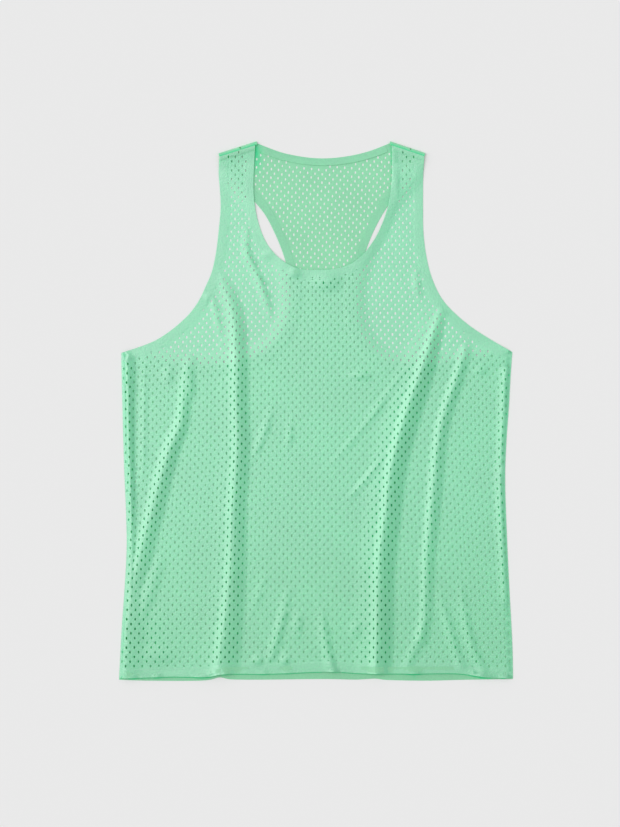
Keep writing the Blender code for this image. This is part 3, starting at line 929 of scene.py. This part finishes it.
def flap(name):
    """The cloth that turns over at a shoulder, laid flat: its ring, and points along the turn."""
    line, out = TURNS[name], outward(TURNS[name])
    end = TURN_LENGTH + SHOULDER_RETURN - TURN_OUTER
    reaches = np.append(np.linspace(0.0, TURN_LENGTH, TURN_STEPS + 1), end)
    sides = [[corner + reach * out for reach in reaches] for corner in line]
    shares = np.linspace(0.0, 1.0, round(np.linalg.norm(line[1] - line[0]) / RING_STEP) + 1)[1:-1]
    rows = [[(1 - share) * a + share * b for share in shares] for a, b in zip(*sides)]
    crests = [point for row in rows for point in row]
    return np.array(sides[0] + rows[-1] + sides[1][::-1]), crests


def turned(points, from_centre, at_start):
    """Flat points as the cloth lies: level, but rolled over at each shoulder."""
    placed = at_height(points, at_start)
    for line in TURNS.values():
        out = outward(line)
        past = (points - line[0]) @ out
        share = (points - line[0]) @ (line[1] - line[0]) / ((line[1] - line[0]) ** 2).sum()
        beyond = (past > 0) & (np.abs(share - 0.5) < TURN_SHARE)
        angle = np.minimum(past / TURN_LENGTH, 1.0) * np.pi
        reach = from_centre * np.sin(angle) - np.maximum(past - TURN_LENGTH, 0.0)
        across = points + (reach - past)[:, None] * out
        rolled = at_height(across, at_start + from_centre * (1 - np.cos(angle)))
        placed[beyond] = rolled[beyond]
    return placed


def back_pieces(cloth, band):
    """The back panel, turned over at the shoulders, and the bands that lie on its inside."""
    flaps = {name: flap(name) for name in SHOULDER_NAMES}
    paths = {name: flaps[name][0] if name in flaps else path for name, path in BACK.items()}
    ring = ring_of(paths.values())
    side_count = TURN_STEPS + 2
    outlines = [outline for outline, _ in flaps.values()]
    sides = [side for outline in outlines for side in (outline[:side_count], outline[-side_count:])]
    ends = [outline[TURN_STEPS:-TURN_STEPS] for outline in outlines]
    gaps = [
        *band_gaps(NEAR_BACK),
        (NEAR_BACK_SIDES, EYELET_TO_SIDE),
        (near(*sides), ARM_BAND + EYELET_TO_BAND),
        (near(*ends), EYELET_TO_SEAM),
    ]

    def kept(points):
        return inside(points, ring) & all_clear(points, gaps)

    holes = [oval(spot) for spot in eyelets(BACK_MESH, 0.5, kept)]
    crests = [point for _, crests in flaps.values() for point in crests]
    points, triangles, hole_rim = net(ring, [], holes, crests)
    lower, upper = turned(points, TURN_OUTER, SEAT), turned(points, TURN_INNER, SEAT + WALL)
    panel = shell("back_mesh", triangles, lower, upper, cloth, hole_rim)
    store(panel, "bonded_and_seam_shade", over_bands(points, NEAR_BACK), 1.0)
    # painted shade on the turned cloth under the straps, up to just past their edges
    shade_at_strap = 1 - passed(past_front(lower[:, :2], NEAR_SEAMS), STRAP_SHADE_LINE)
    shade_at_strap *= ~inside(points, BACK_RING)
    # painted shade: under the front's folds, on the turned cloth under the straps, and beside the
    # left strap
    painted_shade = np.maximum(fold_shade(points), shade_at_strap) + mounds(points, STRAP_SHADE)
    store(panel, "painted_shade", painted_shade, 0.0)
    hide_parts("back_panel")
    bands = []
    for edge in BAND_WIDTHS:
        strip = band_strip(BACK, edge, TAPE_TO_SHOULDER)
        reaches = (*HEM_SHADOW_LINE, HEM_SHADOW_LINE[1] + HEM_GAP_WIDTH) if edge == "hem" else ()
        lines = [run for past in reaches for run in inner_runs(to_left(FRONT["hem"], -past), strip)]
        points, triangles, _ = net(strip, lines, [], [])
        curl = ease(distance(points, NEAR_BACK[edge]) / NECK_BAND) if edge == "neck" else 0.0
        lower = at_height(points, BACK_TOP + SEAT + TAPE_CURL * curl)
        upper = lower + [0.0, 0.0, BAND_WALL]
        bands.append(shell(f"back_{edge}_tape", triangles, lower, upper, band))
        # painted shade on the tapes under the front's folds and beside the left strap
        painted_shade = fold_shade(points) + mounds(points, STRAP_SHADE)
        if edge == "hem":
            # painted shadow along the back hem's tape just past the front hem's edge
            past = past_front(points, NEAR_FRONT["hem"]) - HEM_GAP_WIDTH * (hem_gap(points) - 1)
            painted_shade = 1 - passed(past, HEM_SHADOW_LINE)
        store(bands[-1], "painted_shade", painted_shade, 0.0)
        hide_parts(f"back_{edge}_band")
    return panel, bands


# Materials

CLOTH_GREEN = (0.045, 0.53, 0.275)
EDGE_GREEN = (0.04, 0.51, 0.26)  # where it is bonded; mixed in past a share of 1 at the straps' seams, it is painted shade there
INSIDE_GREEN = (0.25, 0.62, 0.395)
TAPE_GREEN = (0.23, 0.59, 0.38)
THROUGH_GREEN = (0.02, 0.26, 0.12)  # light that comes through the cloth
SHADE_GREEN = (0.0, 0.62, 0.27)  # painted shade on the inside under the front's folds, hem and straps, where light comes through the green cloth alone
HEM_SHADE_ENDS = (-80.0, -290.0)  # painted shade: towards the hem the cloth's colour darkens, as for light falling off, between these places along it
HEM_SHADE = (0.02, 0.04, 0.045)  # by this much painted shade
CLOTH_ROUGHNESS = 0.5
CLOTH_IOR = 2.17
INSIDE_IOR = 1.45  # the knit's inner face shines less
CLOTH_SPECULAR = 1.0
CLOTH_SHEEN = 0.1
SHEEN_ROUGHNESS = 0.4
CLOTH_MOTTLE = 0.06
MOTTLE_ENDS = (0.35, 0.65)  # the noise between which the mottle goes from darkest to lightest
MOTTLE_SCALE, GRAIN_SCALE = 14.0, 420.0
NOISE_DETAIL = 2.0
WALE, COURSE = 0.0009, 0.0008
WAVE_TURNS = np.pi / 10  # a Wave texture's scale for one stripe a metre
STRIPE_WOBBLE, WOBBLE_SCALE = 0.6, 400.0
LOOP_HEIGHT = 0.08
LOOP_STRENGTH = 0.35
RUFFLE = 12.0  # the finest unevenness beside the loops' own height


def new_material(name, colour, roughness):
    """A named material with its node tree and shader."""
    material = bpy.data.materials.new(name)
    material.use_nodes = True
    shader = material.node_tree.nodes["Principled BSDF"]
    shader.inputs["Base Color"].default_value = (*colour, 1.0)
    shader.inputs["Roughness"].default_value = roughness
    return material, material.node_tree, shader


def knit(name, colour, edge_colour, ior):
    """Fine polyester knit: wales and courses under a soft mottle."""
    material, tree, shader = new_material(name, colour, CLOTH_ROUGHNESS)
    shader.inputs["IOR"].default_value = ior
    shader.inputs["Specular IOR Level"].default_value = CLOTH_SPECULAR
    shader.inputs["Sheen Weight"].default_value = CLOTH_SHEEN
    shader.inputs["Sheen Roughness"].default_value = SHEEN_ROUGHNESS
    link = tree.links.new

    def node(kind, **inputs):
        made = tree.nodes.new("ShaderNode" + kind)
        for socket_name, value in inputs.items():
            put(made.inputs[socket_name], value)
        return made

    def put(socket, value):
        """Links another node's output to socket, or sets a plain value on it."""
        if isinstance(value, bpy.types.NodeSocket):
            link(value, socket)
        else:
            socket.default_value = value

    place = node("TexCoord").outputs["Object"]

    def noise(scale):
        return node("TexNoise", Scale=scale, Detail=NOISE_DETAIL, Vector=place).outputs["Fac"]

    def maths(operation, a, b):
        made = node("Math")
        made.operation = operation
        put(made.inputs[0], a)
        put(made.inputs[1], b)
        return made.outputs[0]

    def stripes(direction, pitch):
        made = node("TexWave", Scale=WAVE_TURNS / pitch, Distortion=STRIPE_WOBBLE, Vector=place)
        put(made.inputs["Detail Scale"], WOBBLE_SCALE)
        made.wave_type, made.bands_direction = "BANDS", direction
        return made.outputs["Fac"]

    def blend(first, second, factor, kind="MIX", clamped=True):
        made = node("Mix")
        made.data_type, made.blend_type, made.clamp_factor = "RGBA", kind, clamped
        put(made.inputs["Factor"], factor)
        put(made.inputs["A"], first)
        put(made.inputs["B"], (*second, 1.0))
        return made.outputs["Result"]

    def stored(attribute):
        made = node("Attribute")
        made.attribute_name = attribute
        return made.outputs["Fac"]

    def ranged(value, ends, results=(0.0, 1.0), kind="LINEAR"):
        made = node("MapRange", Value=value)
        made.interpolation_type = kind
        for end, limit in zip(("From Min", "From Max", "To Min", "To Max"), (*ends, *results)):
            put(made.inputs[end], limit)
        return made.outputs["Result"]

    loops = maths("MULTIPLY", stripes("X", WALE), stripes("Y", COURSE))
    grain = noise(GRAIN_SCALE)
    patches = maths("MULTIPLY", noise(MOTTLE_SCALE), 0.5)
    mottle = maths("ADD", patches, maths("MULTIPLY", grain, 0.5))
    shade = ranged(mottle, MOTTLE_ENDS, (1 - CLOTH_MOTTLE, 1 + CLOTH_MOTTLE))
    along = node("SeparateXYZ", Vector=place).outputs["Y"]
    to_hem = ranged(along, [end * MM for end in HEM_SHADE_ENDS], kind="SMOOTHSTEP")
    # the bands' own bonded tone, and painted shade at the straps' seams where the share runs past 1
    tone = blend((*colour, 1.0), edge_colour, stored("bonded_and_seam_shade"), clamped=False)
    # painted shade between the panels and beside the straps
    tone = blend(tone, SHADE_GREEN, stored("painted_shade"))
    # painted shade towards the hem
    tone = blend(tone, HEM_SHADE, to_hem, "SUBTRACT")
    shaded = node("VectorMath")
    shaded.operation = "SCALE"
    put(shaded.inputs["Vector"], tone)
    put(shaded.inputs["Scale"], shade)
    put(shader.inputs["Base Color"], shaded.outputs["Vector"])
    relief = maths("ADD", loops, maths("MULTIPLY", grain, RUFFLE))
    bump = node("Bump", Strength=LOOP_STRENGTH, Distance=LOOP_HEIGHT * MM, Height=relief)
    put(shader.inputs["Normal"], bump.outputs["Normal"])
    through = node("BsdfTranslucent", Color=(*THROUGH_GREEN, 1.0))
    both = node("AddShader")
    put(both.inputs[0], shader.outputs["BSDF"])
    put(both.inputs[1], through.outputs["BSDF"])
    put(tree.nodes["Material Output"].inputs["Surface"], both.outputs["Shader"])
    return material


# Camera, light and table

FRAME_MIDDLE = (-7.865 * MM, -3.25 * MM)
FRAME_HEIGHT = 1075.1 * MM
CAMERA_HEIGHT = 2.6

# Where each lamp stands, its strength and its spread in radians
LAMPS = [
    ((-1.0, 0.6, 2.8), 1.0, 0.85),
    ((-1.0, 0.2, 0.6), 0.8, 0.8),
]
ROOM_STRENGTH = 0.54
TABLE_SIZE = 6.0
TABLE_GREY = 0.85
TABLE_ROUGHNESS = 0.9


def add_camera():
    """A camera that looks straight down."""
    bpy.ops.object.camera_add(location=(*FRAME_MIDDLE, CAMERA_HEIGHT), rotation=(0.0, 0.0, 0.0))
    camera = bpy.context.object
    camera.data.lens = camera.data.sensor_width * CAMERA_HEIGHT / FRAME_HEIGHT
    bpy.context.scene.camera = camera


def add_light():
    """A large soft light high on the left, a weaker one low beside it, and an even pale room."""
    for direction, strength, spread in LAMPS:
        bpy.ops.object.light_add(type="SUN", location=direction)
        lamp = bpy.context.object
        lamp.rotation_euler = Vector(direction).to_track_quat("Z", "Y").to_euler()
        lamp.data.energy = strength
        lamp.data.angle = spread
    world = bpy.data.worlds.new("room")
    bpy.context.scene.world = world
    world.use_nodes = True
    background = world.node_tree.nodes["Background"]
    background.inputs["Color"].default_value = (1.0, 1.0, 1.0, 1.0)
    background.inputs["Strength"].default_value = ROOM_STRENGTH


def add_table():
    """The pale matt table that the singlet lies on."""
    bpy.ops.mesh.primitive_plane_add(size=TABLE_SIZE, location=(0.0, 0.0, 0.0))
    table = bpy.context.object
    table.name = "table"
    material, _, shader = new_material("pale_table", (TABLE_GREY,) * 3, TABLE_ROUGHNESS)
    shader.inputs["Specular IOR Level"].default_value = 0.0
    table.data.materials.append(material)


bpy.ops.object.select_all(action="DESELECT")
add_camera()
add_light()
add_table()
bpy.context.scene.view_settings.view_transform = "Standard"

cloth = knit("eyelet_mesh", CLOTH_GREEN, EDGE_GREEN, CLOTH_IOR)
inside_cloth = knit("eyelet_mesh_inside", INSIDE_GREEN, TAPE_GREEN, INSIDE_IOR)
band = knit("bonded_edge", TAPE_GREEN, TAPE_GREEN, INSIDE_IOR)
back, back_bands = back_pieces(inside_cloth, band)
front, front_bands = front_pieces(cloth, band)
for piece in (back, front, *back_bands, *front_bands):
    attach(piece, "root")
